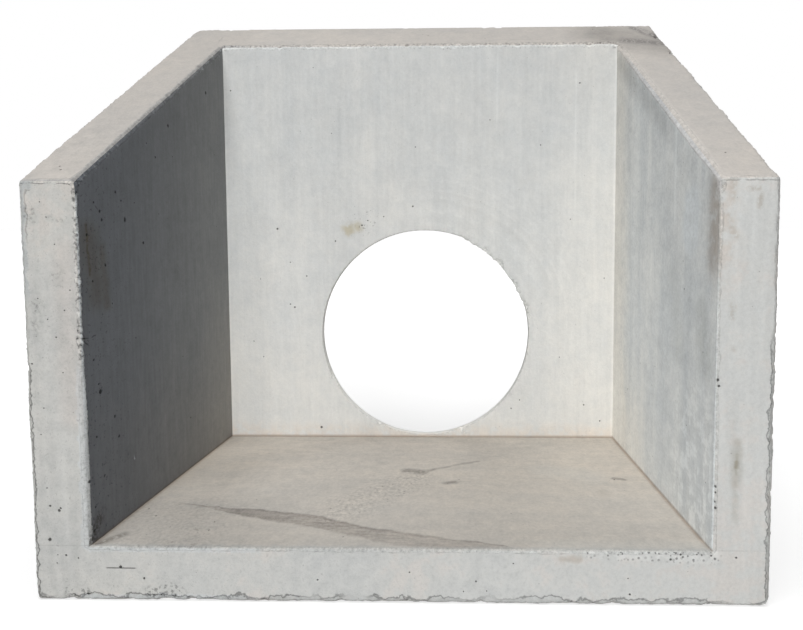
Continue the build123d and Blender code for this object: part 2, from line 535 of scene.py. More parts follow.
wing_y, wing_z = (low.y + MARGIN, throat_y - MARGIN), (floor_z + MARGIN, high.z)
side_y, side_z = (low.y + MARGIN, high.y - MARGIN), (0.03, high.z)
for row in (
    ("left_wing", 8, wing_y, wing_z, 1.3, 1.8), ("right_wing", 8, wing_y, wing_z, 1.3, 1.8),
    ("headwall", 8, (-0.46, 0.46), (floor_z + MARGIN, 1.05), 1.3, 1.8),
    ("front", 5, (-0.61, -0.54), (0.03, 0.69), 1.1, 1.4), ("front", 5, (-0.5, 0.5), (0.02, 0.08), 1.1, 1.5),
    ("left_side", 30, side_y, side_z, 1.8, 4.5), ("right_side", 30, side_y, side_z, 1.8, 4.5),
    ("back", 40, (-0.58, 0.58), (0.03, 1.12), 1.8, 4.5),
    ("rim", 4, (-0.57, 0.57), (throat_y + MARGIN, high.y - MARGIN), 1.3, 1.8),
):
    strew_holes(*row)
print(len(air_holes), "air holes in all")

# %% [markdown]
# ## Making the mesh fine where it matters
#
# A mesh that is fine everywhere would need millions of triangles. Instead, every edge is compared with a
# wanted length that is short beside an arris or an air hole and grows with the distance from it. Splitting
# just any long edge leaves slivers, so each split is handed on to the longest edge of the triangles beside
# it, until an edge is the longest on both its sides. That one is split in the middle, and the triangles
# stay well shaped.

# %% Split the long edges, round after round
GRID = 0.09
CELL_TO_EDGE = 1.4
HOLE_CELLS = 2.0
ARRIS_GROWTH, HOLE_GROWTH = 0.55, 0.9
WELD = 0.5 * MM


def slice_up(axis, spacing):
    """Cuts the whole body with evenly spaced planes across one axis."""
    count = math.floor((high[axis] - low[axis]) / spacing)
    normal = Vector((0, 0, 0))
    normal[axis] = 1
    for step in range(1, count + 1):
        place = low + step * (high[axis] - low[axis]) / (count + 1) * normal
        everything = body.verts[:] + body.edges[:] + body.faces[:]
        bmesh.ops.bisect_plane(body, geom=everything, dist=SAME_PLACE, plane_co=place, plane_no=normal)


def edge_length(edge):
    return edge.calc_length()


def longest_around(edge):
    """The edge to split for the sake of this one: the longest on both its sides."""
    while True:
        longer = max((side for face in edge.link_faces for side in face.edges), key=edge_length)
        if edge_length(longer) <= edge_length(edge) + SAME_PLACE:
            return edge
        edge = longer


def refine(wanted):
    """Splits edges in the middle until none is longer than wanted."""
    splits = 0
    waiting = body.edges[:]
    while waiting:
        waiting = [
            edge for edge in waiting if edge_length(edge) > wanted((edge.verts[0].co + edge.verts[1].co) / 2)
        ]
        taken = set()
        chosen = {}
        for edge in waiting:
            split = longest_around(edge)
            if split not in chosen and not taken.intersection(split.link_faces):
                taken.update(split.link_faces)
                chosen[split] = True
        splits += len(chosen)
        parts = bmesh.ops.subdivide_edges(body, edges=list(chosen), cuts=1, use_single_edge=True)["geom"]
        fresh = [part for part in parts if isinstance(part, bmesh.types.BMEdge)]
        kept = [edge for edge in waiting if edge not in chosen]
        waiting = [edge for edge in dict.fromkeys(kept + fresh) if edge.is_valid]
    print(splits, "edges split,", len(body.faces), "triangles")


def search_tree(places):
    """A tree that finds the nearest of these places."""
    tree = kdtree.KDTree(len(places))
    for index, place in enumerate(places):
        tree.insert(place, index)
    tree.balance()
    return tree


along_arrises = [
    (place, arris.cell, arris.cut) for arris in arrises for place in arris.points(2 * arris.cell)
]
at_holes = [(place, radius / HOLE_CELLS, radius) for place, normal, radius in air_holes]
needs = [
    (search_tree([place for place, cell, reach in kind]), kind, growth)
    for kind, growth in ((along_arrises, ARRIS_GROWTH), (at_holes, HOLE_GROWTH))
]


def wanted_length(place):
    """How long an edge of the mesh may be at this place."""
    lengths = []
    for tree, kind, growth in needs:
        found, index, distance = tree.find(place)
        cell, reach = kind[index][1:]
        lengths.append(CELL_TO_EDGE * cell + growth * max(0.0, distance - reach))
    return min(lengths)


for axis in range(3):
    slice_up(axis, GRID)
bmesh.ops.remove_doubles(body, verts=body.verts, dist=WELD)
bmesh.ops.dissolve_degenerate(body, edges=body.edges, dist=WELD)
bmesh.ops.triangulate(body, faces=body.faces)
body = settled(body)
refine(wanted_length)
print("fine mesh:", len(body.verts), "vertices,", len(body.faces), "triangles")

# %% [markdown]
# ## Wearing the arrises
#
# At a vertex, two numbers say how deep it lies behind the two faces of its arris. Where they say that it is
# outside the wanted chamfer or round, it is pushed straight in until it lies on it. The size of the cut
# wanders with a slow noise, as a hand-fitted chamfer strip does, shivers with a fast one, as broken concrete
# does, and jumps up at a chip. How far each vertex is from the worn strip is kept for the material.

# %% Cut the arrises back
SLOW, FAST, FINE = 14.0, 80.0, 190.0
UNTOUCHED = 50.0
LEAST_CUT, OUTSIDE, THINNEST = 0.3 * MM, 0.1 * MM, 0.05 * MM
layers = body.verts.layers.float
past_edge, broken, in_hole = (layers.new(name) for name in ("past_edge", "broken", "in_hole"))
body.verts.ensure_lookup_table()
for vert in body.verts:
    vert[past_edge] = UNTOUCHED


def wander(place, per_metre, offset=0.0):
    """Smooth noise from about -1 to 1, with this many waves in a metre."""
    return noise.noise(place * per_metre + Vector((offset, 2.3 * offset, -1.7 * offset)))


def cut_size(arris, place):
    """How far the arris is cut back at this place, and how much of that is a chip."""
    ragged = 0.6 * wander(place, SLOW) + 0.45 * wander(place, FAST, 3.0) + 0.5 * wander(place, FINE, 7.0)
    plain = arris.cut * (1 + arris.rough * ragged)
    for middle, half_length, depth in arris.rounded:
        away = (place - middle).length / half_length
        if away < 1:
            plain = max(plain, depth * (1 - away ** 8) * (1 + 0.1 * ragged))
    size = plain
    for middle, half_length, depth in arris.chips:
        away = (place - middle).length / half_length
        if away < 1:
            size = max(size, depth * (1 - away ** 3) * (1 + 0.35 * wander(place, FAST, 11.0)))
    return max(size, LEAST_CUT), max(0.0, size - plain) / size


def wear(arris, tree):
    """Pushes the vertices that lie outside the worn arris in to it."""
    deepest = max([arris.cut] + [depth for middle, half_length, depth in arris.chips + arris.rounded])
    near = set()
    for place in arris.points(arris.cell):
        near.update(index for co, index, distance in tree.find_range(place, 2 * deepest))
    moved = 0
    for index in near:
        vert = body.verts[index]
        place, first, second, past = arris.section(vert.co)
        behind = vert.co - place
        depths = (-behind.dot(first), -behind.dot(second))
        if min(depths) < -OUTSIDE:
            continue
        lean = first.dot(second)
        cut, chipped = cut_size(arris, place + 0.5 * behind)
        cut = math.sqrt(max(cut * cut - past * past, THINNEST ** 2))
        vert[past_edge] = min(vert[past_edge], (sum(depths) + past - cut) / MM)
        shares = [max(0.0, 1 - depth / cut) for depth in depths]
        outside = (shares[0] ** arris.roundness + shares[1] ** arris.roundness) ** (1 / arris.roundness)
        if outside > 1:
            crumble = 1 + 0.16 * wander(vert.co, FAST, 19.0) + 0.14 * wander(vert.co, FINE, 23.0)
            steps = [cut * (share - share / outside) * crumble for share in shares]
            inward_first = (first - lean * second) / (1 - lean * lean)
            inward_second = (second - lean * first) / (1 - lean * lean)
            vert.co -= steps[0] * inward_first + steps[1] * inward_second
            vert[broken] = max(vert[broken], chipped)
            moved += 1
    return moved


rest_tree = search_tree([vert.co.copy() for vert in body.verts])
for arris in arrises:
    print(arris.name, wear(arris, rest_tree), "vertices cut back")

# %% [markdown]
# ## Mortar in the pipe opening
#
# The drum didn't quite touch the mould, so a thin fin of mortar crept in over its edge and was only roughly
# knocked off. It hangs into the opening at the upper right, with three small lumps further down. Each is
# given by its direction from the axis, how far it reaches to both sides and how far it hangs in.

# %% Hang the mortar in
FINS = ((41, 26, 6.5), (64, 4, 4), (209, 5, 3), (243, 5, 3), (289, 6, 3))


def fin_size(place):
    """How far the mortar hangs in at this place of the bore's wall."""
    turn = math.degrees(math.atan2(place.z - bore_z, place.x - bore_x)) % 360
    sizes = [size * math.sqrt(max(0, 1 - ((turn - middle) / reach) ** 4)) for middle, reach, size in FINS]
    return max(sizes) * MM * (1 + 0.45 * wander(place, FAST, 41.0) + 0.25 * wander(place, FINE, 43.0))


pushed = 0
for vert in body.verts:
    spoke = vert.co - Vector((bore_x, vert.co.y, bore_z))
    near_wall = min(1.0, (bore_radius + 4 * MM - spoke.length) / (2 * MM))
    to_front = 1 - (vert.co.y - throat_y) / (land_y - throat_y)
    if near_wall > 0 and 0 < to_front < 1.1 and fin_size(vert.co) > 0:
        vert.co -= fin_size(vert.co) * near_wall * min(1.0, to_front) * spoke.normalized()
        pushed += 1
print(pushed, "vertices pushed into the opening")

# %% [markdown]
# ## Denting the air holes
#
# Each vertex within a hole's radius is pushed in along the face's normal. The depth follows the root of
# one minus the squared distance, which gives a round bottom and the steep rim of a burst bubble. A little
# noise on the distance keeps the outline from being a perfect circle.

# %% Push the holes in
HOLE_DEPTH = 0.9


def dent(place, normal, radius):
    """Pushes an air hole into the body."""
    dented = 0
    for co, index, distance in rest_tree.find_range(place, 1.5 * radius):
        vert = body.verts[index]
        share = distance / radius * (1 + 0.25 * wander(co, 0.35 / radius, 31.0))
        if share < 1 and abs((co - place).dot(normal)) < 0.5 * MM:
            depth = math.sqrt(1 - share * share)
            vert.co -= HOLE_DEPTH * radius * depth * normal
            vert[in_hole] = max(vert[in_hole], depth)
            dented += 1
    return dented


print(sum(dent(*hole) for hole in air_holes), "vertices pushed in by", len(air_holes), "holes")
bmesh.ops.recalc_face_normals(body, faces=body.faces)

# %% [markdown]
# ## The finished piece
#
# The mesh goes into an object at the origin, which stands for the CAD casting and rides on the same body.
# Smooth shading with sharp edges above 38 degrees keeps the crisp mould edges and the rims of the holes.

# %% Make the object
SHARP_ANGLE = math.radians(38)


def mesh_from(name, shape):
    """Turns a bmesh into a mesh."""
    made = bpy.data.meshes.new(name)
    shape.to_mesh(made)
    shape.free()
    return made


def add_object(name, data):
    """Puts an object with this data into the scene."""
    made = bpy.data.objects.new(name, data)
    bpy.context.scene.collection.objects.link(made)
    return made


mesh = mesh_from("cast_concrete", body)
mesh.shade_smooth()
mesh.set_sharp_from_angle(angle=SHARP_ANGLE)
piece = add_object("cast_concrete", mesh)
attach(piece, "root")
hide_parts("headwall_casting")
print("cast_concrete:", len(mesh.polygons), "triangles")

# %% [markdown]
# ## A short way to write a shader
#
# Each surface needs well over a hundred nodes, and placed by hand they would be hard to follow. Here a socket
# is wrapped in a small class, so that a sum or a product of two masks is written as one, and adds its Math
# node by itself. Every other node comes from one function, which is given the node's settings and the values
# or links of its sockets.

# %% Wrap sockets in arithmetic
class Field:
    """A socket whose value changes over the surface, with the arithmetic of a number."""

    def __init__(self, socket):
        self.socket = socket

    def __abs__(self):
        return maths("ABSOLUTE", self)

    def other(self, name):
        """Another output of the same node."""
        return Field(self.socket.node.outputs[name])


def node(kind, settings, values, output=0):
    """Adds a node: first its settings, then a value or a link for each named or numbered socket."""
    made = tree.nodes.new("ShaderNode" + kind)
    for name, setting in settings.items():
        setattr(made, name, setting)
    for name, value in values.items():
        if isinstance(value, Field):
            tree.links.new(value.socket, made.inputs[name])
        else:
            made.inputs[name].default_value = value
    return Field(made.outputs[output])


def maths(operation, *values):
    return node("Math", {"operation": operation}, dict(enumerate(values)))


def overload(name, operation):
    """Gives Field an operator and its reflected form."""
    setattr(Field, "__" + name + "__", lambda self, other: maths(operation, self, other))
    setattr(Field, "__r" + name + "__", lambda self, other: maths(operation, other, self))


for name, operation in (("add", "ADD"), ("sub", "SUBTRACT"), ("mul", "MULTIPLY"), ("truediv", "DIVIDE")):
    overload(name, operation)


def vector_maths(operation, *values):
    output = 1 if operation in ("DISTANCE", "LENGTH", "DOT_PRODUCT") else 0
    return node("VectorMath", {"operation": operation}, dict(enumerate(values)), output)


def attribute(name):
    """What the modelling left at the vertices under this name."""
    return node("Attribute", {"attribute_name": name}, {}, 2)


def ease(value, start, end):
    """Runs smoothly from 0 where the value is at start to 1 where it is at end."""
    limits = {"Value": value, "From Min": start, "From Max": end}
    return node("MapRange", {"interpolation_type": "SMOOTHSTEP"}, limits)


def band(value, middle, half_width, soft=0.5):
    """A soft mask where a value is near the middle one."""
    return ease(abs(value - middle), half_width * (1 + soft), half_width * (1 - soft))


def blend(share, first, second):
    """A colour between two colours."""
    return node("Mix", {"data_type": "RGBA"}, {0: share, 6: first, 7: second}, 2)


def most(*masks):
    """The strongest of several masks."""
    strongest = masks[0]
    for mask in masks[1:]:
        strongest = maths("MAXIMUM", strongest, mask)
    return strongest


def cloud(place, per_metre, detail=2.0, roughness=0.5):
    """Noise from 0 to 1 with this many waves in a metre."""
    settings = {"Vector": place, "Scale": per_metre, "Detail": detail, "Roughness": roughness}
    return node("TexNoise", {}, settings)


def scatter(place, per_metre):
    """Strewn points: the distance to the nearest one, in cells, and that point's random number."""
    distance = node("TexVoronoi", {}, {"Vector": place, "Scale": per_metre})
    return distance, vector_maths("DOT_PRODUCT", distance.other("Color"), (1.0, 0.0, 0.0))


def follow(line, field):
    """The value of a straight line over a field."""
    return line(0) + (line(1) - line(0)) * field


# %% [markdown]
# ## One concrete, seven surfaces
#
# All of it is one mix, so every surface shares the same clouds, sand, pinholes, worn arrises and chips. Each
# then gets its own tint and its own marks. A class holds what a surface has so far: its colour, a shade that
# makes it lighter or darker, and a warmth that moves it from bluish to beige. A mark that fades in over a
# part of the surface names a field, such as z, with the value where it starts and the one where it is full.

# %% Start a surface
BEND = 0.012


class Finish:
    """The finish of one surface while it is being made."""

    def __init__(self, name, tint, mottling=1.0):
        global tree
        self.name = name
        self.material = bpy.data.materials.new("concrete_" + name)
        self.material.use_nodes = True
        tree = self.material.node_tree
        self.place = node("TexCoord", {}, {}, 3)
        self.x = node("SeparateXYZ", {}, {0: self.place})
        self.y, self.z = self.x.other("Y"), self.x.other("Z")
        self.aside = abs(self.x)
        self.edge_mm = attribute("past_edge")
        self.slow = cloud(self.place, 5.0, 2.0, 0.55)
        self.spots = cloud(self.place, 42.0, 3.0, 0.6)
        self.mottle = cloud(self.place, 160.0, 2.0, 0.6)
        self.sand = cloud(self.place, 520.0, 1.0, 0.5)
        self.patchy = self.spots + 0.5 * self.mottle
        self.colour = blend(0.0, (*tint, 1), (*tint, 1))
        uneven = 0.2 * (self.slow - 0.5) + mottling * (0.26 * (self.spots - 0.5) + 0.26 * (self.mottle - 0.5))
        self.shade = 1 + uneven + 0.16 * (self.sand - 0.5)
        self.warmth = 0.5 + 0.7 * (self.slow - 0.5) + 0.4 * (self.spots - 0.5)
        self.ridges = 0.0
        self.more_pores = 0.0

    def streaks(self, stretch, broad, fine, warmth, ridges=0.0002):
        """Streaks of water, oil or the trowel, along the axis in which the noise is stretched."""
        along = vector_maths("MULTIPLY", self.place, stretch)
        self.broad, self.fine = cloud(along, 1.0), cloud(along, 5.5, 2.0, 0.6)
        self.shade = self.shade + broad * (self.broad - 0.5) + fine * (self.fine - 0.5)
        self.warmth = self.warmth + warmth * (self.broad - 0.5)
        self.ridges = ridges * self.fine

    def bend(self):
        """The coordinates, bent a little with noise, so that no mark has a clean outline."""
        if not hasattr(self, "bent"):
            wobble = vector_maths("SUBTRACT", cloud(self.place, 45.0, 1.0).other("Color"), (0.5, 0.5, 0.5))
            self.bent = vector_maths("ADD", self.place, vector_maths("MULTIPLY", wobble, (BEND, BEND, BEND)))
        return self.bent

    def at(self, spot):
        """The place of a spot in mm: three coordinates, or the two that tell it on this surface."""
        place = metres(spot)
        return Vector(place) if len(place) == 3 else spot_on(self.name, *place)[0]

    def marks(self, *rows):
        """The strongest of some marks: each has a strength, one or two ends, half a width and a softness."""
        masks = []
        for strength, *ends, half_width, soft in rows:
            start, along = self.at(ends[0]), self.at(ends[-1]) - self.at(ends[0])
            offset = vector_maths("SUBTRACT", self.bend(), start)
            if len(ends) > 1:
                dot = vector_maths("DOT_PRODUCT", offset, along / along.length_squared)
                scaled = {0: tuple(along), "Scale": node("Clamp", {}, {0: dot})}
                offset = vector_maths("SUBTRACT", offset, node("VectorMath", {"operation": "SCALE"}, scaled))
            reach = half_width * MM
            faded = ease(vector_maths("LENGTH", offset), reach * (1 + soft), reach * (1 - soft))
            masks.append(strength * faded)
        return most(*masks)

    def where(self, mask=1, **limits):
        """A mask, kept only where each named field is past its limits."""
        for name, (start, end) in limits.items():
            kept = ease(getattr(self, name), start, end)
            mask = mask * kept if isinstance(mask, Field) else kept
        return mask

    def lighten(self, amount, mask=1, **limits):
        self.shade = self.shade + amount * self.where(mask, **limits)

    def warm(self, amount, mask=1, **limits):
        self.warmth = self.warmth + amount * self.where(mask, **limits)

    def stain(self, tint, share, mask=1, **limits):
        self.colour = blend(share * self.where(mask, **limits), self.colour, (*tint, 1))


print("one finish per surface:", ", ".join(SURFACES))

# %% [markdown]
# ## What every surface ends with
#
# The attributes from the modelling say where the strip of an arris begins, to a fraction of a millimetre. A
# Voronoi texture scatters points and gives each one a random colour, which picks a few of them as pinholes.
# A finer one gives the small stones that show on broken concrete. What is too small for the mesh becomes
# relief, as heights in metres. The Bump node works its height out three times, so little goes into it.

# %% Finish a surface
PORES_PER_METRE, STONES_PER_METRE = 105.0, 200.0
SAND_HEIGHT, SPOT_HEIGHT, MOTTLE_HEIGHT, BROKEN_HEIGHT = 0.00018, 0.0009, 0.0004, 0.0008
COOL, WARM = (0.965, 0.995, 1.02), (1.035, 1.0, 0.945)
SPECULAR = 0.3


def finish(surface, roughness=0.86, line=0.22, grain=1.0):
    """Adds wear, pinholes and relief, and puts the material on the casting."""
    chipped, hole = attribute("broken"), attribute("in_hole")
    ragged_mm = surface.edge_mm + 2.0 * (surface.mottle - 0.5)
    strip = ease(ragged_mm, 0.6, -0.6)
    surface.lighten(grain * (0.75 * (surface.mottle - 0.5) + 0.3 * (surface.sand - 0.5)) - 0.02, strip)
    surface.lighten(-line, band(ragged_mm, 0.4, 0.7, 0.7), spots=(0.45, 0.6))
    distance, choice = scatter(surface.place, PORES_PER_METRE)
    picked = ease(choice + 0.5 * surface.more_pores, 0.9, 0.95)
    pores = picked * ease(distance / (0.13 + 0.17 * surface.more_pores), 1.1, 0.6)
    stones = node("TexVoronoi", {}, {"Vector": surface.place, "Scale": STONES_PER_METRE}, 1)
    surface.lighten(0.7 * (vector_maths("DOT_PRODUCT", stones, (0.33, 0.33, 0.33)) - 0.5) - 0.1, chipped)
    shade = surface.shade * (1 - 0.8 * ease(hole, 0.1, 0.6)) - 0.3 * pores
    cool, warm = (vector_maths("MULTIPLY", surface.colour, tint) for tint in (COOL, WARM))
    colour = blend(surface.warmth, cool, warm)
    colour = node("VectorMath", {"operation": "SCALE"}, {0: colour, "Scale": maths("MAXIMUM", shade, 0.05)})
    height = SAND_HEIGHT * surface.sand + SPOT_HEIGHT * surface.spots + surface.ridges
    height = height + (MOTTLE_HEIGHT + BROKEN_HEIGHT * (strip + chipped)) * surface.mottle
    relief = node("Bump", {}, {"Strength": 1.0, "Distance": 1.0, "Height": height})
    shader = tree.nodes["Principled BSDF"]
    tree.links.new(colour.socket, shader.inputs["Base Color"])
    tree.links.new((roughness + 0.2 * (surface.mottle - 0.5)).socket, shader.inputs["Roughness"])
    tree.links.new(relief.socket, shader.inputs["Normal"])
    shader.inputs["Specular IOR Level"].default_value = SPECULAR
    mesh.materials.append(surface.material)
    print(surface.material.name, "has", len(tree.nodes), "nodes")


# %% [markdown]
# ## The outside and the back
#
# Nobody looks at these in the ditch, and they come out of the mould as plain grey concrete. They have long
# soft streaks, where water ran down the steel, and the foot is a little darker, where the casting stood in
# the wet.

# %% Outside
outside = Finish("outside", (0.53, 0.53, 0.515), 1.2)
outside.streaks((16.0, 16.0, 1.1), 0.3, 0.16, 0.5)
outside.lighten(-0.12, ease(outside.z + 0.1 * outside.slow, 0.14, 0.03))
outside.lighten(-0.14, patchy=(0.98, 1.1))
outside.stain((0.5, 0.45, 0.38), 0.4, ease(outside.slow + 0.5 * outside.broad, 0.86, 1.0))
finish(outside)

# %% [markdown]
# ## The front
#
# The front lay against the mould's end plate. It is mottled at the left, lighter and smoother to the right,
# with small dark specks, grey smudges and pinkish patches. Low down at the left is a slot-shaped scratch,
# at the right a brown smear and a streak of rust that tapers downwards.

# %% Front
front = Finish("front", (0.56, 0.557, 0.54), 1.25)
front.lighten(0.125, x=(-0.6, 0.6))
front.lighten(-0.07)
front.warm(-0.1, x=(-0.5, 0.5))
front.warm(-0.15)
front.warm(0.15, x=(-0.3, -0.55))
front.stain((0.56, 0.505, 0.475), 0.3, ease(front.slow + 0.8 * front.spots, 0.92, 1.08))
upright_bands = cloud(vector_maths("MULTIPLY", front.place, (60.0, 1.0, 4.0)), 1.0)
front.lighten(0.24 * (upright_bands - 0.5), aside=(0.52, 0.54))
front.stain((0.58, 0.5, 0.46), 0.25, front.marks((1, (-548, 600), (-545, 320), 18, 0.9)))
front.lighten(-0.22, patchy=(0.93, 1.07), x=(0.4, -0.4))
front.lighten(0.07, ease(front.spots - 0.5 * front.mottle, 0.02, -0.08))
front.lighten(-0.2, ease(front.mottle + 0.5 * front.sand, 0.86, 0.96), x=(0.7, -0.5))
front.lighten(-0.04, z=(0.25, 0.4), x=(0.0, -0.3))
front.lighten(-0.02, z=(0.5, 0.7), x=(0.0, -0.3))
front.lighten(0.2 * (0.5 - front.spots) + 0.08 * (0.5 - front.mottle), x=(0.2, 0.5))
smudges = front.marks(
    (1, (-611, 668), (-609, 652), 5, 0.9), (1, (-599, 664), (-596, 650), 5, 0.9),
    (1, (-568, 655), (-550, 650), 4, 0.9), (1, (-597, 505), 14, 0.9), (1, (-603, 475), 14, 0.9),
    (0.7, (-560, 560), 14, 0.9),
)
front.lighten(-0.24, smudges, mottle=(0.4, 0.6))
brown_spots = front.marks(
    (1, (546, 705), (545, 680), 5.5, 0.9), (1, (569, 697), (585, 697), 4, 0.9),
    (1, (590, 685), (590, 670), 4.5, 0.9), (1, (540, 650), (550, 620), 6, 0.9),
    (0.8, (549, 510), (550, 490), 5, 0.9), (0.8, (552, 434), 5, 0.9),
)
front.stain((0.37, 0.33, 0.285), 0.6, brown_spots, mottle=(0.35, 0.6))
by_stain = front.where(ease(front.x, 0.575, 0.53), x=(0.4, 0.5), z=(0.5, 0.6))
front.stain((0.5, 0.44, 0.39), 0.45, by_stain, spots=(0.35, 0.6))
mould_line = band(front.z, floor_z + 0.002, 0.0012)
front.lighten(-0.12, mould_line, aside=(0.5, 0.53), mottle=(0.35, 0.55))
slot = band(front.z + 0.004 * front.slow, 0.06, 0.0011) * band(front.x, -0.472, 0.025, 0.1)
front.lighten(-0.6, slot)
front.stain((0.36, 0.3, 0.24), 0.45, front.marks((1, (275, 80), (305, 82), 5, 0.9)))
rust = front.marks(
    (0.75, (561, 249), (561.5, 239), 4.5, 0.95), (0.5, (561, 262), (562, 226), 3, 0.95),
    (0.3, (561, 280), (561, 210), 7.5, 0.95), (0.22, (561, 220), (560, 150), 4.2, 0.95),
)
front.stain((0.24, 0.21, 0.15), 1.0, rust)

# %% [markdown]
# ## Crept mortar and honeycomb
#
# A dark line wanders along the outer arrises and the foot, where mortar crept behind the chamfer strip. It is
# a band of the distance from the arris, which noise pushes to and fro. Honeycomb is concrete that the
# vibration didn't close, under the lip at the right: many more of the Voronoi points are picked there, and
# each pore is wider, with pale cement between them. The foot is broken dark in two places at the left.

# %% The front's arrises
PITS_PER_METRE = 175.0
crept_mm = front.edge_mm + 17.0 * (front.spots - 0.42) + 3.0 * (front.mottle - 0.5)
low_sides = ease(front.aside, 0.585, 0.6) * ease(front.z + 0.04 * ease(front.x, 0.1, 0.0), 0.47, 0.43)
high_left = front.where(x=(-0.595, -0.602), z=(0.5, 0.56))
foot_mm = 1000 * front.z + 34 * (front.spots - 0.5) + 4 * (front.mottle - 0.5)
by_foot = front.where(x=(0.58, 0.5), slow=(0.36, 0.44))
front.lighten(-0.5, most(low_sides * band(crept_mm, 3.5, 1.2, 0.8), by_foot * band(foot_mm, 11, 1.6, 0.8)))
shaded = most(low_sides * ease(crept_mm, 4.5, 1.5), by_foot * ease(foot_mm, 12, 9))
front.lighten(-0.17, shaded, spots=(0.3, 0.5))
grey_strip = high_left * ease(crept_mm, 9.0, 4.0)
front.lighten(-0.13, grey_strip)
front.warm(-0.7, grey_strip)
front.lighten(-0.3, high_left * band(crept_mm, 9.0, 1.2, 0.8), z=(0.6, 0.63))
tip_mm = 1000 * (rim_z(low.y) - front.z) - 8 * (front.spots - 0.5)
front.lighten(-0.35, band(tip_mm, 4.5, 0.8, 0.8), spots=(0.4, 0.5))
by_inner_arris = ease(front.x, -0.546, -0.538) * ease(front.x, -0.2, -0.3)
notches = by_inner_arris * ease(front.edge_mm + 5.0 * (front.spots - 0.5), 3.0, 0.5)
front.lighten(1.8 * (front.mottle - 0.53), notches, z=(0.38, 0.44))
smooth_arris = front.where(by_inner_arris, edge_mm=(8.0, 4.0), z=(0.42, 0.38))
front.warm(-0.7, smooth_arris)
front.lighten(0.05, smooth_arris)
front.lighten(-0.1, ease(front.x, 0.45, 0.5), edge_mm=(1.5, -1.0), x=(0.56, 0.55))
front.lighten(-0.07, edge_mm=(1.5, -1.0), aside=(0.525, 0.52))
front.more_pores = front.marks(
    (1, (322, 91), (350, 90), 7.5, 0.6), (1, (370, 90), (440, 88), 8.5, 0.6),
    (1, (460, 86), (527, 89), 11, 0.6),
)
front.stain((0.68, 0.69, 0.68), 0.4, front.more_pores, spots=(0.4, 0.55))
broken_foot = front.marks((1, (-560, 13), (-535, 16), 10, 0.6), (1, (-420, 15), (-375, 18), 12, 0.6))
front.lighten(-0.4, broken_foot, mottle=(0.5, 0.6))
pit_distance, pit_choice = scatter(front.place, PITS_PER_METRE)
front.lighten(-0.65, front.more_pores * ease(pit_choice, 0.34, 0.39) * ease(pit_distance, 0.46, 0.28))
finish(front)

# %% [markdown]
# ## The headwall
#
# The headwall is nearly white. It is painted lighter downwards and to the right, painted light that evens out
# the lamps' shading, and grows a little yellower there. Painted light also lifts the shadow that the left
# wing casts low on the left and in the left corner, and the shade on the wall inside the pipe opening. Faint
# rings lie round the pipe opening, and two light upright lines are the traces of joints in the mould's steel.
# Above the opening, at the left, is a yellow-brown stain, and along the floor lies a line of brown dust.

# %% Headwall
BROWN = (0.3, 0.225, 0.17)
FLOOR_LINE = (floor_z + 0.006, floor_z)
headwall = Finish("headwall", (0.635, 0.638, 0.628), 0.6)
headwall.streaks((22.0, 22.0, 1.3), 0.13, 0.13, 0.35)
lower = ease(headwall.z, 1.0, 0.15)
to_right = ease(headwall.x, 0.25, 0.42)
# Painted light: lighter downwards and to the right, and more so low at the left, in the left wing's shadow.
headwall.lighten(0.13, lower)
headwall.lighten(0.055, to_right)
headwall.lighten(0.07, lower, x=(-0.15, -0.45))
headwall.lighten(-0.075)
headwall.lighten(0.11, cloud(headwall.place, 16.0) - 0.5)
# Painted light in the left corner, lifting the shadow that the left wing casts there.
headwall.lighten(0.22, ease(headwall.x + inner_x(throat_y), 0.095, 0.0), z=(0.98, 0.7))
flat_place = vector_maths("MULTIPLY", headwall.bend(), (1.0, 0.0, 1.0))
from_axis = vector_maths("DISTANCE", flat_place, (bore_x, 0.0, bore_z))
rings = node("TexNoise", {"noise_dimensions": "1D"}, {"W": from_axis, "Scale": 50.0, "Detail": 2.0})
round_bore = band(from_axis, 1.42 * bore_radius, 0.3 * bore_radius, 0.6)
headwall.lighten(0.2 * (rings - 0.5), round_bore, z=(0.4, 0.5), x=(-0.15, 0.1), spots=(0.3, 0.6))
# Painted light on the wall inside the pipe opening, which lies in shade.
headwall.lighten(0.25, y=(throat_y + 0.001, throat_y + 0.004))
headwall.warm(0.25, lower)
headwall.warm(0.2, to_right)
headwall.warm(-0.2)
for x, z in ((0.193, 0.84), (0.386, 0.64)):
    headwall.lighten(0.06, band(headwall.x, x, 0.0025), z=(z, z + 0.08), fine=(0.3, 0.6))
headwall.lighten(0.06, band(headwall.aside, inner_x(throat_y) - 0.002, 0.003))
stain = headwall.marks((1, (-177, 622), 16, 0.7), (1, (-155, 632), 11, 0.8))
headwall.stain((0.45, 0.39, 0.25), 0.65, stain, spots=(0.3, 0.55))
headwall.lighten(-0.5, headwall.marks((1, (-140, 645), 35, 0.8)), mottle=(0.6, 0.7))
on_face = ease(headwall.y, throat_y + 0.012, throat_y + 0.006)
headwall.stain((0.6, 0.5, 0.41), 0.35, on_face, z=(floor_z + 0.05, floor_z + 0.004), spots=(0.3, 0.6))
headwall.stain(BROWN, 0.6, on_face, z=FLOOR_LINE)
headwall.lighten(-0.4, edge_mm=(3.0, 0.5), z=(1.0, 1.03), mottle=(0.56, 0.66), spots=(0.4, 0.55))
finish(headwall, line=0.0)
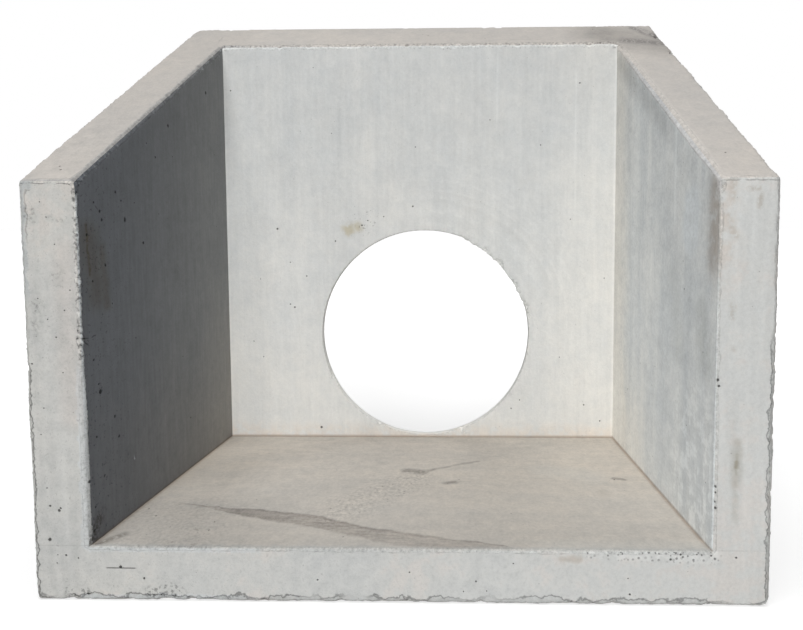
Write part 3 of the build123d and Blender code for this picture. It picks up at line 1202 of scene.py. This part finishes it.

# %% [markdown]
# ## The left wing
#
# The left wing is dark, partly with oil and partly with painted shade, and cooler in front. Towards the floor
# and the back it is painted lighter and browner, as light that the floor and the headwall throw back into its
# shade. Brown smears hang under its air holes, and two hair cracks run back from the front arris. Where the
# arris was rubbed down, the oil is gone and the grey concrete shows, but under the rim only crumbs of it do.

# %% Left wing
# Painted shade: the dark tint is partly oil and partly the shade that the wing lies in.
left_wing = Finish("left_wing", (0.166, 0.173, 0.187), 1.1)
left_wing.streaks((26.0, 26.0, 2.2), 0.2, 0.34, 0.3)
# Painted light: lighter towards the back, and lighter and browner low down at the back, as light thrown back
# by the floor and the headwall.
left_wing.stain((0.252, 0.25, 0.246), 1.0, y=(low.y, throat_y))
left_wing.warm(-0.55)
left_wing.lighten(-0.06, z=(0.6, 0.9))
left_wing.warm(0.5, z=(0.5, 0.1))
left_wing.warm(0.4, y=(0.0, throat_y), z=(0.8, 0.3))
left_wing.lighten(0.16, y=(0.0, throat_y), z=(0.7, 0.2))
left_wing.lighten(-0.16, y=(0.0, -0.2), z=(0.5, 0.2))
smears = left_wing.marks(
    (0.55, (-523, -303, 620), (-521, -283, 520), 24, 0.95),
    (1, (-523, -307, 640), (-523, -301, 560), 5, 0.95),
    (0.6, (-518, -270, 600), (-518, -262, 500), 10, 0.95),
)
left_wing.stain((0.1, 0.085, 0.062), 0.95, smears, mottle=(0.1, 0.5))
left_wing.lighten(1.2, left_wing.marks((1, (-515, -197, 212), (-515, -197, 196), 1.4, 0.5)))
cracks = left_wing.marks(
    (1, (-524, -328, 452), (-519, -262, 452), 1.2, 0.5), (1, (-524, -328, 452), (-522, -296, 420), 1.4, 0.5)
)
left_wing.lighten(-0.5, cracks)
left_wing.lighten(-0.35, patchy=(1.0, 1.12))
left_wing.lighten(-0.45, ease(left_wing.mottle + 0.4 * left_wing.sand, 0.8, 0.9), y=(-0.12, -0.3))
rubbed_mm = left_wing.edge_mm + (5.0 * (left_wing.mottle - 0.5) + 6.0 * (left_wing.spots - 0.5))
under_rim = ease(follow(rim_z, left_wing.y) - left_wing.z, 0.035, 0.02)
left_wing.stain((0.6, 0.605, 0.6), 1.0, ease(rubbed_mm, 1.2, -0.3) * (1 - under_rim))
dirt = left_wing.marks((1, (-524, -322, 100), (-522, -300, 135), 12, 0.9))
left_wing.stain((0.07, 0.065, 0.06), 0.8, dirt, mottle=(0.4, 0.55))
left_wing.lighten(-0.3, under_rim, edge_mm=(1.0, -2.0))
crumbs = left_wing.where(under_rim * ease(rubbed_mm, 5.0, 3.0), mottle=(0.58, 0.66), slow=(0.45, 0.5))
left_wing.stain((0.45, 0.46, 0.45), 0.6, crumbs)
notches = left_wing.where(y=(low.y + 0.03, low.y + 0.02), z=(0.38, 0.44), edge_mm=(5.0, 2.0))
left_wing.lighten(2.2 * (left_wing.mottle - 0.55), notches)
left_wing.stain((0.16, 0.12, 0.09), 0.6, z=FLOOR_LINE)
finish(left_wing, 0.7)

# %% [markdown]
# ## The right wing
#
# The right wing is paler than the other walls, partly its own tint and partly painted light on the side that
# the light falls on. It has upright bluish bands, a beige strip in the corner at the back, a brown stain
# beside its front arris, a darker grey patch below that, a soft band of painted shade just under the rim, and
# pale scuffs low down in front.

# %% Right wing
# Painted light: the pale tint is partly the wing's own and partly painted light on the side that the light
# falls on.
right_wing = Finish("right_wing", (0.715, 0.728, 0.724), 1.3)
right_wing.streaks((24.0, 24.0, 1.5), 0.3, 0.15, 0.6)
right_wing.lighten(0.14, z=(0.75, 0.15))
right_wing.lighten(-0.05, y=(0.1, -0.3))
right_wing.warm(0.75, y=(0.06, 0.19))
right_wing.warm(0.4, z=(0.4, 0.15), y=(-0.1, 0.05))
right_wing.warm(-0.25)
right_wing.stain((0.4, 0.35, 0.31), 0.45, y=(low.y + 0.06, low.y + 0.014), z=(0.5, 0.6), spots=(0.25, 0.5))
stain_core = right_wing.marks((1, (522, -318, 700), (522, -308, 580), 16, 0.95))
right_wing.stain((0.3, 0.25, 0.21), 0.5, stain_core * (0.35 + 0.65 * ease(right_wing.spots, 0.35, 0.6)))
right_wing.lighten(-0.12, edge_mm=(1.5, -1.0))
right_wing.lighten(0.14, cloud(right_wing.place, 14.0) - 0.5)
rim_gap = follow(rim_z, right_wing.y) - right_wing.z
# Painted shade: a soft darker band just under the rim.
right_wing.lighten(-0.2, band(rim_gap, 0.035, 0.03, 0.9), y=(-0.2, -0.05), spots=(0.2, 0.5))
right_wing.lighten(-0.06, z=(0.7, 0.9), y=(-0.05, 0.1))
rim_strip = ease(rim_gap, 0.035, 0.02) * ease(right_wing.edge_mm + 8.0 * (right_wing.spots - 0.5), 2.5, 0.0)
right_wing.stain((0.74, 0.72, 0.71), 0.8, rim_strip)
right_wing.lighten(0.01 + 0.05 * ease(right_wing.z, 0.65, 0.5), band(right_wing.y, -0.05, 0.12, 0.8))
pale_line = band(right_wing.y + 0.01 * (right_wing.spots - 0.5), -0.152, 0.004, 0.8)
right_wing.lighten(0.1, pale_line, z=(0.6, 0.67))
pale_patch = right_wing.marks((1, (517, -225, 670), (517, -222, 620), 28, 0.9))
right_wing.lighten(0.06, pale_patch)
right_wing.warm(-0.5, pale_patch)
grey_patch = right_wing.marks(
    (1, (522, -272, 490), (523, -287, 400), 24, 0.8), (0.6, (512, -150, 550), (515, -180, 400), 22, 0.9)
)
right_wing.stain((0.42, 0.44, 0.43), 0.45, grey_patch, spots=(0.3, 0.55))
scuffs = ease(0.75 * right_wing.spots + 0.25 * right_wing.fine, 0.5, 0.58)
right_wing.lighten(0.14, scuffs, z=(0.4, 0.25), y=(-0.12, -0.22))
right_wing.lighten(-0.12, patchy=(1.0, 1.12))
right_wing.stain(BROWN, 0.6, z=FLOOR_LINE)
finish(right_wing, grain=0.4)

# %% [markdown]
# ## The floor
#
# The floor was finished with a steel trowel, from side to side. It left one long dark smear that widens and
# narrows like a leaf. Its outline is a distance to a middle line, divided by a width that a Float Curve
# gives, which is how a soft brush stroke is drawn with numbers.

# %% Floor
LEAF_START, LEAF_END, LEAF_HALF_WIDTH, LEAF_SAG = (-0.443, -0.168), (0.205, -0.328), 0.022, 0.018
LEAF_WIDTHS = (
    (0, 0.1), (0.1, 0.22), (0.17, 0.42), (0.22, 0.62), (0.36, 0.85), (0.5, 0.9), (0.58, 0.85), (0.68, 1.0),
    (0.78, 0.78), (0.88, 0.5), (1, 0.1),
)
floor = Finish("floor", (0.56, 0.518, 0.47), 1.2)
to_back = ease(floor.y, -0.25, 0.12)
floor.streaks((3.0, 24.0, 1.0), 0.16, 0.08 + 0.12 * to_back, 0.5, 0.00045 + 0.0006 * to_back)
along_leaf = (floor.x - LEAF_START[0]) * (1 / (LEAF_END[0] - LEAF_START[0]))
leaf_width = node("FloatCurve", {}, {"Value": along_leaf})
curve = leaf_width.socket.node.mapping.curves[0]
curve.points[0].location, curve.points[-1].location = LEAF_WIDTHS[0], LEAF_WIDTHS[-1]
for point in LEAF_WIDTHS[1:-1]:
    curve.points.new(*point)
leaf_width.socket.node.mapping.update()
bent_y = node("SeparateXYZ", {}, {0: floor.bend()}).other("Y")
leaf_middle = follow(line_through(LEAF_START, LEAF_END), floor.x) - LEAF_SAG * band(floor.x, 0.0, 0.1, 0.9)
across_leaf = (bent_y - leaf_middle) / (LEAF_HALF_WIDTH * leaf_width)
ends = ease(along_leaf, -0.02, 0.02) * ease(along_leaf, 1.02, 0.96)
leaf = ends * ease(abs(across_leaf), 1.25, 0.75)
darkness = 0.1 + 0.12 * ease(floor.x, 0.05, -0.15) * ease(floor.x, -0.4, -0.3)
floor.lighten(0.5 * (floor.fine - 0.5) + 0.2 * (floor.mottle - 0.5) - darkness, leaf)
floor.lighten(-0.2, ends * band(across_leaf, 0.95, 0.2, 0.9))
floor.stain((0.46, 0.405, 0.36), 0.5, leaf)

# %% [markdown]
# ## Small marks on the floor
#
# A few nicks and scratches were left in the wet concrete, and one patch stayed rough, with fine pores. The
# floor is paler along the lip and at the right, and painted light lifts the shadow that the left wing casts
# on the floor beside it. Brown dust lies along the walls.

# %% The floor's marks
nicks = floor.marks(
    (1, (-16, -4), (20, -14), 10.5, 0.8), (0.8, (20, -14), (45, 4), 5, 0.8),
    (0.7, (45, 4), (140, 48), 4.2, 0.8), (1, (75, -67), (90, -65), 6.5, 0.9),
    (0.4, (60, -66), (125, -60), 2.6, 0.8), (1, (430, -40), (452, -45), 4.5, 0.8),
)
floor.lighten(-0.4, nicks)
floor.lighten(-0.12, floor.marks((1, (392, -108), 12, 0.9)))
gritty = floor.where(x=(-0.25, -0.4), y=(-0.1, -0.2))
floor.more_pores = most(0.5 * floor.marks((1, (-120, -190), (0, -50), 45, 0.6)), 0.25 * gritty)
floor.lighten(1.1 * (floor.mottle - 0.56), floor.more_pores)
wing_gap = follow(inner_x, floor.y) - floor.aside
side_dirt = most(ease(wing_gap, 0.009, 0.001), ease(floor.y, throat_y - 0.012, throat_y - 0.001))
floor.stain(BROWN, 0.6, side_dirt)
floor.lighten(-0.05, y=(throat_y - 0.09, throat_y))
floor.lighten(-0.1, band(floor.x, -0.05, 0.2, 0.8), y=(-0.05, 0.1))
floor.lighten(0.12, x=(-0.2, -0.45), y=(0.0, 0.15))
floor.lighten(-0.05, band(floor.x, 0.0, 0.15, 0.9) * band(floor.y, -0.08, 0.06, 0.9))
floor.lighten(0.03, x=(0.15, 0.4), y=(0.12, -0.1))
floor.warm(-0.25, y=(0.0, -0.2))
floor.lighten(-0.05, x=(0.1, 0.3), y=(0.05, 0.15))
# Painted light beside the left wing, lifting the shadow that the wing casts on the floor.
floor.lighten(0.28, ease(wing_gap, 0.13, 0.0), x=(-0.1, -0.2), y=(0.17, 0.1))
floor.lighten(-0.1, band(floor.x, -0.29, 0.08, 0.9), y=(-0.08, -0.2))
floor.lighten(-0.11 - 0.35 * ease(floor.patchy, 0.86, 0.98), gritty)
corner_dirt = floor.marks((1, (-513, -318), (-490, -290), 9, 0.9))
floor.stain((0.2, 0.175, 0.15), 0.7, corner_dirt, mottle=(0.35, 0.5))
floor.stain((0.56, 0.565, 0.545), 0.35, ease(along_leaf, 1.0, 1.1), y=(low.y + 0.05, low.y + 0.012))
floor.stain((0.5, 0.505, 0.49), 0.6, ease(floor.y + 0.01 * floor.spots, low.y + 0.02, low.y + 0.008))
floor.stain((0.52, 0.53, 0.52), 0.25, floor.marks((1, (290, 0), (383, -30), 30, 0.9)))
finish(floor, 0.78)

# %% [markdown]
# ## The rim
#
# The rim was struck off with a board and rubbed smooth. It is a pinkish grey, darker at the left and the
# back, with thin scratches and a smear of dark mortar at the right back corner.

# %% Rim
rim = Finish("rim", (0.5, 0.474, 0.45))
rim.lighten(0.1, x=(0.45, 0.53))
rim.lighten(0.06, aside=(0.47, 0.4))
mortar = rim.marks(
    (1, (550, 305), (604, 230), 14, 0.9), (0.8, (510, 225), (595, 205), 16, 0.9), (1, (604, 228), 9, 0.9)
)
rim.stain((0.2, 0.19, 0.19), 0.8, mortar * ease(0.5 * rim.spots + 0.5 * rim.mottle, 0.42, 0.52))
rim.lighten(-0.32, rim.marks((1, (470, 270), (600, 200), 70, 0.9)))
rim.lighten(0.2 * (rim.spots - 0.5), rim.marks((1, (-570, -330), (-570, -200), 50, 0.9)))
scratches = rim.marks(
    (1, (200, 237), (300, 236), 1.6, 0.5), (1, (490, 232), (600, 232), 1.3, 0.5),
    (1, (-510, 300), (-505, 235), 1.3, 0.5),
)
rim.lighten(-0.25, scratches, mottle=(0.35, 0.55))
# Painted shade, a little bluish, where the rounded left inner arris turns down towards the wing.
left_arris = rim.where(edge_mm=(2.0, -4.0), x=(-0.4, -0.47))
rim.lighten(-0.2, left_arris)
rim.warm(-0.8, left_arris)
rim.lighten(-0.6, rim.marks((1, (604, 228), 6, 0.8)))
rim.lighten(0.08, ease(rim.x, 0.45, 0.48), edge_mm=(6.0, 1.0), x=(0.56, 0.55))
ragged = ease(rim.edge_mm + 7.0 * (rim.spots - 0.5), 4.0, 1.5)
rim.lighten(1.1 * (rim.mottle - 0.57), ragged, y=(throat_y + 0.022, throat_y + 0.012), aside=(0.49, 0.48))
rim.lighten(-0.14, patchy=(0.98, 1.1))
finish(rim, grain=0.8)

# %% [markdown]
# ## A white floor that keeps the shadow
#
# The casting stands on plain pale paper. Under soft light, paper isn't quite white in a render, and turning
# the lamps up would bleach the concrete. So the camera alone sees a little glow added to the paper, more of
# it far away, where the floor runs out into the white background. The shadow beside the block stays.

# %% Floor and background
FLOOR_SIZE = 30.0
PAPER, PAPER_ROUGHNESS = (0.6, 0.6, 0.6, 1), 0.9
GLOW_NEAR, GLOW_FAR, NEAR, FAR = 0.6, 1.0, 1.0, 2.6
AMBIENT = 0.03


def seen_directly():
    """Is 1 for the camera's own rays, also in a mirror or through glass, and 0 for the light's."""
    rays = node("LightPath", {}, {})
    return most(rays, rays.other("Is Glossy Ray"), rays.other("Is Transmission Ray"))


floor_shape = bmesh.new()
bmesh.ops.create_grid(floor_shape, x_segments=1, y_segments=1, size=FLOOR_SIZE)
ground = add_object("studio_floor", mesh_from("studio_floor", floor_shape))
paper = bpy.data.materials.new("studio_paper")
paper.use_nodes = True
tree = paper.node_tree
sheet = tree.nodes["Principled BSDF"]
sheet.inputs["Base Color"].default_value = PAPER
sheet.inputs["Roughness"].default_value = PAPER_ROUGHNESS
distance = vector_maths("LENGTH", node("TexCoord", {}, {}, 3))
glow = seen_directly() * (GLOW_NEAR + (GLOW_FAR - GLOW_NEAR) * ease(distance, NEAR, FAR))
sheet.inputs["Emission Strength"].default_value = 1.0
tree.links.new(glow.socket, sheet.inputs["Emission Color"])
ground.data.materials.append(paper)

world = bpy.data.worlds.new("studio")
world.use_nodes = True
tree = world.node_tree
background = tree.nodes["Background"]
background.inputs["Color"].default_value = (1, 1, 1, 1)
tree.links.new((AMBIENT + (1 - AMBIENT) * seen_directly()).socket, background.inputs["Strength"])
bpy.context.scene.world = world

# %% [markdown]
# ## Light
#
# A soft box stands in front, a little to the left and low, and a larger one hangs high on the left. They
# leave the inside of the left wing to the light that the other walls throw back. A weak third lamp behind
# keeps the back readable when the block is turned.

# %% Lamps
AIM = Vector((0, 0, 0.4))


def soft_box(name, azimuth, elevation, distance, size, power):
    """A square area lamp on a sphere round the block; azimuth 0 is in front, positive to the right."""
    turn, lift = math.radians(azimuth), math.radians(elevation)
    flat = Vector((math.sin(turn), -math.cos(turn), 0)) * math.cos(lift)
    lamp = bpy.data.lights.new(name, "AREA")
    lamp.size = size
    lamp.energy = power
    stand = add_object(name, lamp)
    stand.location = AIM + distance * (flat + math.sin(lift) * UP)
    stand.rotation_euler = (AIM - stand.location).to_track_quat("-Z", "Y").to_euler()


soft_box("key", -7, 8, 5.0, 2.4, 170)
soft_box("high_left", -30, 75, 6.0, 3.0, 195)
soft_box("behind", 150, 24, 6.0, 3.0, 110)

# %% [markdown]
# ## Camera
#
# The camera stands close, a little above the middle of the block and to the right of it, with a wide lens.
# A small shift frames the block without tilting the upright edges, as a view camera would.

# %% Camera
LENS, SENSOR = 27.8, 36
SHIFT_X, SHIFT_Y = -0.065, -0.0733
STAND = Vector((0.1181, -1.3385, 0.6516))
TURN, TILT, ROLL = (math.radians(angle) for angle in (1.238, 90 - 3.547, -0.195))
camera_data = bpy.data.cameras.new("camera")
camera_data.sensor_width, camera_data.lens = SENSOR, LENS
camera_data.shift_x, camera_data.shift_y = SHIFT_X, SHIFT_Y
camera = add_object("camera", camera_data)
turns = [Matrix.Rotation(angle, 4, axis) for angle, axis in ((TURN, "Z"), (TILT, "X"), (ROLL, "Z"))]
camera.matrix_world = Matrix.Translation(STAND) @ turns[0] @ turns[1] @ turns[2]
bpy.context.scene.camera = camera
bpy.context.scene.view_settings.view_transform = "Standard"
